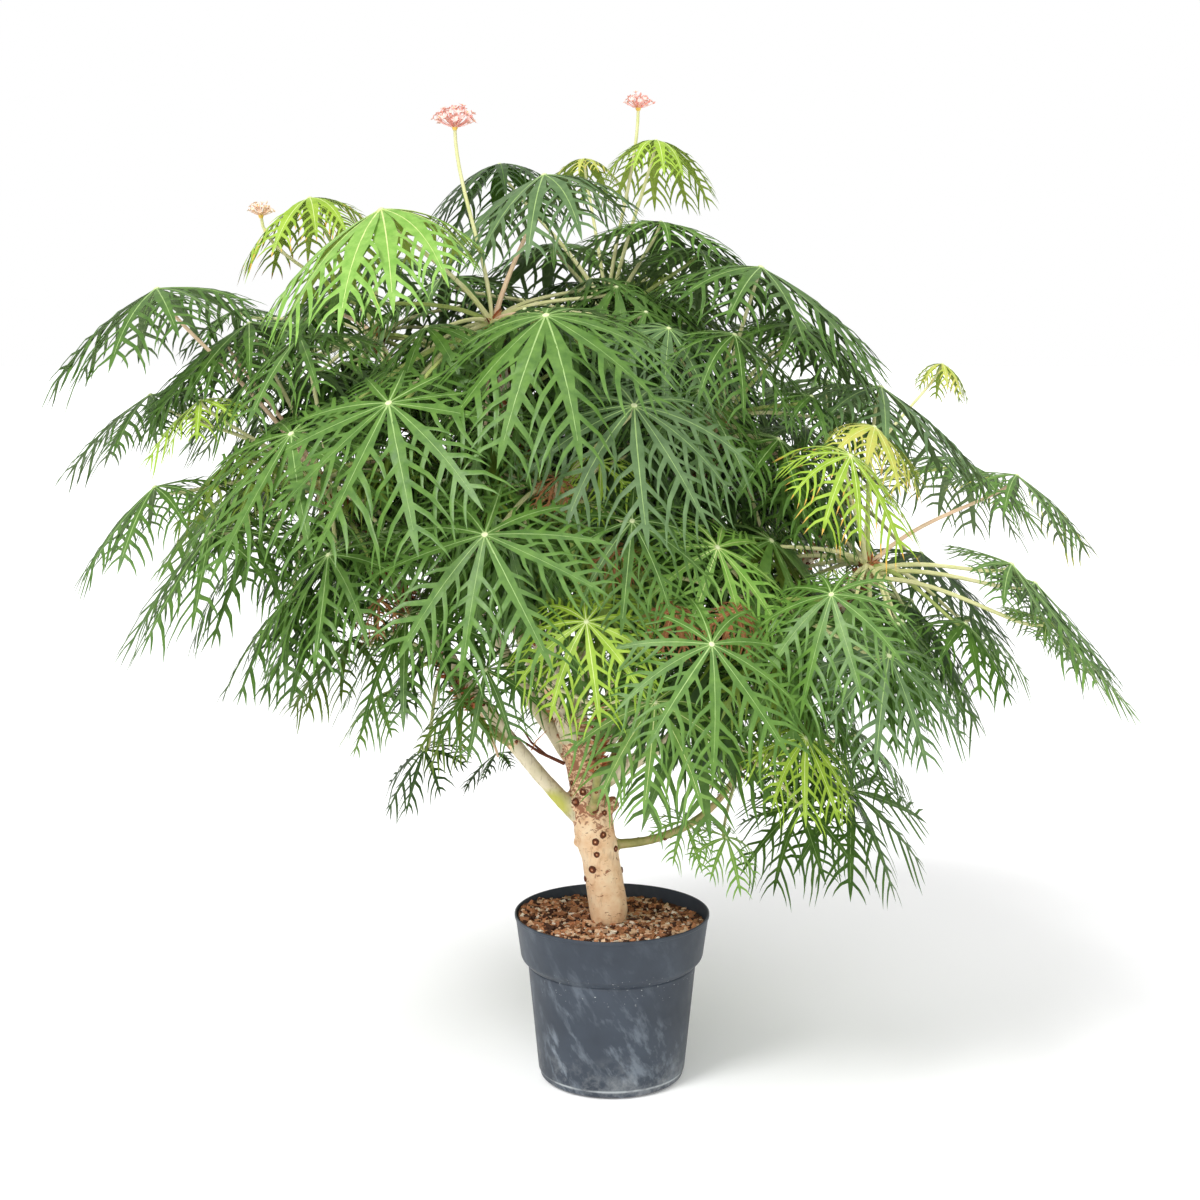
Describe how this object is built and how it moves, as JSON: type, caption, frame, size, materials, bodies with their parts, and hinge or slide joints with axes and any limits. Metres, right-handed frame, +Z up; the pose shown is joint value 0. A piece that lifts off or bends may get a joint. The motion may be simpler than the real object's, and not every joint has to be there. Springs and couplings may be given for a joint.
{
  "type": "potted coral plant",
  "caption": "Potted shrub: a stout leaning trunk in a plain nursery pot carries curving boughs, umbrella-like leaves of narrow toothed lobes, and small coral flower heads.",
  "frame": {"origin": "centre of the pot's flat underside", "axes": "+Z up; the plant's fullest side faces -Y, with +X to the right as one looks at that side"},
  "size_m": [1.2401, 1.0606, 1.1985],
  "materials": {
    "pot": "dark slate grey moulded plastic, satin, with pale scuffs and lime marks",
    "soil": "brown bark chips, rough and loose",
    "bark": "pale tan, smooth, with darker leaf scars",
    "foliage": "deep green leaves, satin, with pale ribs and hubs; young leaves yellow-green"
  },
  "bodies": {
    "root": {"pot": "pot", "soil": "soil", "trunk": "bark", "bough_front_left": "bark", "bough_left": "bark", "bough_upper_left": "bark", "bough_crown_top": "bark", "bough_front": "bark", "bough_upper_right": "bark", "bough_right": "bark", "bough_right_front": "bark", "bough_lower_right": "bark", "bough_front_low": "bark", "bough_lower_left": "bark", "bough_back_left": "bark", "bough_back": "bark", "bough_back_right": "bark", "bough_back_low": "bark", "mass_front_left": "foliage", "mass_left": "foliage", "mass_upper_left": "foliage", "mass_crown_top": "foliage", "mass_front": "foliage", "mass_upper_right": "foliage", "mass_right": "foliage", "mass_right_front": "foliage", "mass_lower_right": "foliage", "mass_front_low": "foliage", "mass_lower_left": "foliage", "mass_back_left": "foliage", "mass_back": "foliage", "mass_back_right": "foliage", "mass_back_low": "foliage"}
  },
  "joints": []
}
